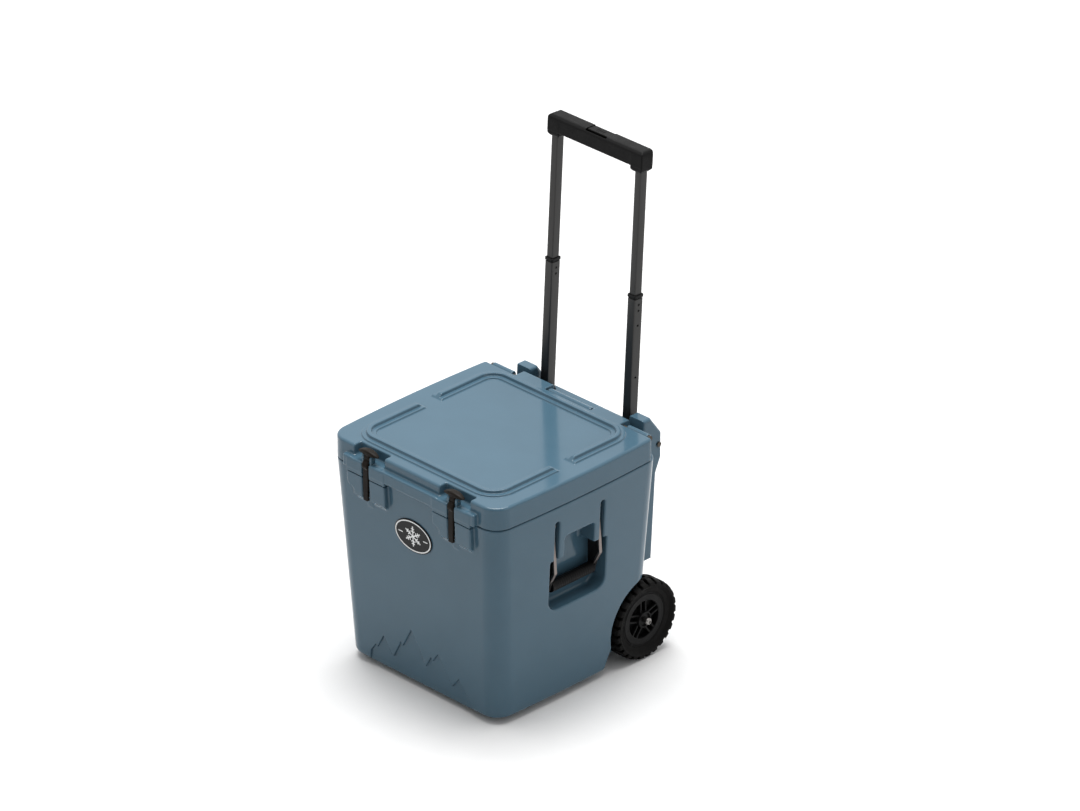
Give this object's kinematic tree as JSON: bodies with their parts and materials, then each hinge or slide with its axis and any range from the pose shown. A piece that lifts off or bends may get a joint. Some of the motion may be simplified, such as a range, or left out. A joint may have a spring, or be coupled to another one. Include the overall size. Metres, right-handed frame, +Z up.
{
  "type": "wheeled cooler",
  "caption": "Hard insulated cooler with a hinged lid, rubber latches, swing side handles, rear wheels and a telescoping pull handle",
  "frame": {"origin": "on the floor under the middle of the whole object's bounding box", "axes": "+Z up, +X to the cooler's right, -Y to its front where the latches are; the pull handle is at +Y"},
  "size_m": [0.49, 0.5633, 1.0848],
  "materials": {
    "moulded_blue": "rotomoulded polyethylene, slate blue, satin gloss",
    "black_plastic": "moulded black plastic, fine texture",
    "rubber": "matt black-brown rubber",
    "tyre": "matt black, moulded tread blocks",
    "rim": "moulded black plastic, satin",
    "grip": "soft-touch black",
    "badge": "dark grey moulded plate with a plain emblem",
    "foam": "rigid polyurethane foam",
    "steel": "plated steel",
    "pole_grey": "anodised dark grey, fine brushing along the length",
    "handle_arm": "satin edge, black face plates"
  },
  "bodies": {
    "tub": {"body_shell": "moulded_blue", "body_foam": "foam", "foam_plug": "black_plastic", "badge": "badge", "foot_left": "rubber", "foot_right": "rubber", "side_pin_left_front": "steel", "side_pin_left_back": "steel", "side_pin_right_front": "steel", "side_pin_right_back": "steel", "hinge_rod": "steel", "axle": "steel", "axle_block_left": "black_plastic", "axle_block_right": "black_plastic", "axle_screw_left": "steel", "axle_screw_right": "steel", "drain_fitting": "black_plastic", "handle_housing": "moulded_blue", "housing_screw_left": "steel", "housing_screw_right": "steel", "sleeve_left": "pole_grey", "sleeve_right": "pole_grey"},
    "lid": {"lid_shell": "moulded_blue", "lid_foam": "foam", "lid_foam_plug": "black_plastic", "lid_gasket": "rubber", "latch_pin_left": "steel", "latch_pin_right": "steel"},
    "latch_left": {"latch_left": "rubber"},
    "latch_right": {"latch_right": "rubber"},
    "side_handle_left": {"side_arm_left_front": "handle_arm", "side_arm_left_back": "handle_arm", "side_grip_left": "grip"},
    "side_handle_right": {"side_arm_right_front": "handle_arm", "side_arm_right_back": "handle_arm", "side_grip_right": "grip"},
    "wheel_left": {"tyre_left": "tyre", "rim_left": "rim"},
    "wheel_right": {"tyre_right": "tyre", "rim_right": "rim"},
    "drain_plug": {"drain_plug": "black_plastic"},
    "lower_stage": {"lower_tube_left": "pole_grey", "lower_tube_right": "pole_grey", "collar_left": "black_plastic", "collar_right": "black_plastic", "lower_glide_left": "black_plastic", "lower_glide_right": "black_plastic"},
    "upper_stage": {"upper_tube_left": "pole_grey", "upper_tube_right": "pole_grey", "upper_glide_left": "black_plastic", "upper_glide_right": "black_plastic", "pull_grip": "grip"},
    "release": {"release_button": "black_plastic", "release_linkage": "steel"}
  },
  "joints": [
    {"name": "lid_hinge", "type": "hinge", "parent": "tub", "child": "lid", "pos_m": [0, 0.18286, 0.503], "axis": [-1, 0, 0], "range_deg": [0, 95]},
    {"name": "latch_left_pivot", "type": "hinge", "parent": "lid", "child": "latch_left", "pos_m": [-0.122, -0.26814, 0.5], "axis": [-1, 0, 0], "range_deg": [0, 90]},
    {"name": "latch_right_pivot", "type": "hinge", "parent": "lid", "child": "latch_right", "pos_m": [0.122, -0.26814, 0.5], "axis": [-1, 0, 0], "range_deg": [0, 90]},
    {"name": "side_handle_left_pivot", "type": "hinge", "parent": "tub", "child": "side_handle_left", "pos_m": [-0.226, -0.03214, 0.412], "axis": [0, 1, 0], "range_deg": [0, 90]},
    {"name": "side_handle_right_pivot", "type": "hinge", "parent": "tub", "child": "side_handle_right", "pos_m": [0.226, -0.03214, 0.412], "axis": [0, -1, 0], "range_deg": [0, 90]},
    {"name": "wheel_left_spin", "type": "hinge", "parent": "tub", "child": "wheel_left", "pos_m": [-0.204, 0.17486, 0.087], "axis": [1, 0, 0], "continuous": true},
    {"name": "wheel_right_spin", "type": "hinge", "parent": "tub", "child": "wheel_right", "pos_m": [0.204, 0.17486, 0.087], "axis": [1, 0, 0], "continuous": true},
    {"name": "drain_plug_turn", "type": "hinge", "parent": "tub", "child": "drain_plug", "pos_m": [-0.22, -0.16214, 0.078], "axis": [-1, 0, 0], "range_deg": [0, 360]},
    {"name": "lower_stage_slide", "type": "slide", "parent": "tub", "child": "lower_stage", "axis": [0, 0.0525, 0.9986], "range_m": [-0.228, 0]},
    {"name": "upper_stage_slide", "type": "slide", "parent": "lower_stage", "child": "upper_stage", "axis": [0, 0.0525, 0.9986], "range_m": [-0.26, 0]},
    {"name": "release_press", "type": "slide", "parent": "upper_stage", "child": "release", "axis": [0, 0.0525, 0.9986], "range_m": [-0.004, 0], "stiffness_N_per_m": 1200, "springref_m": 0.002}
  ]
}
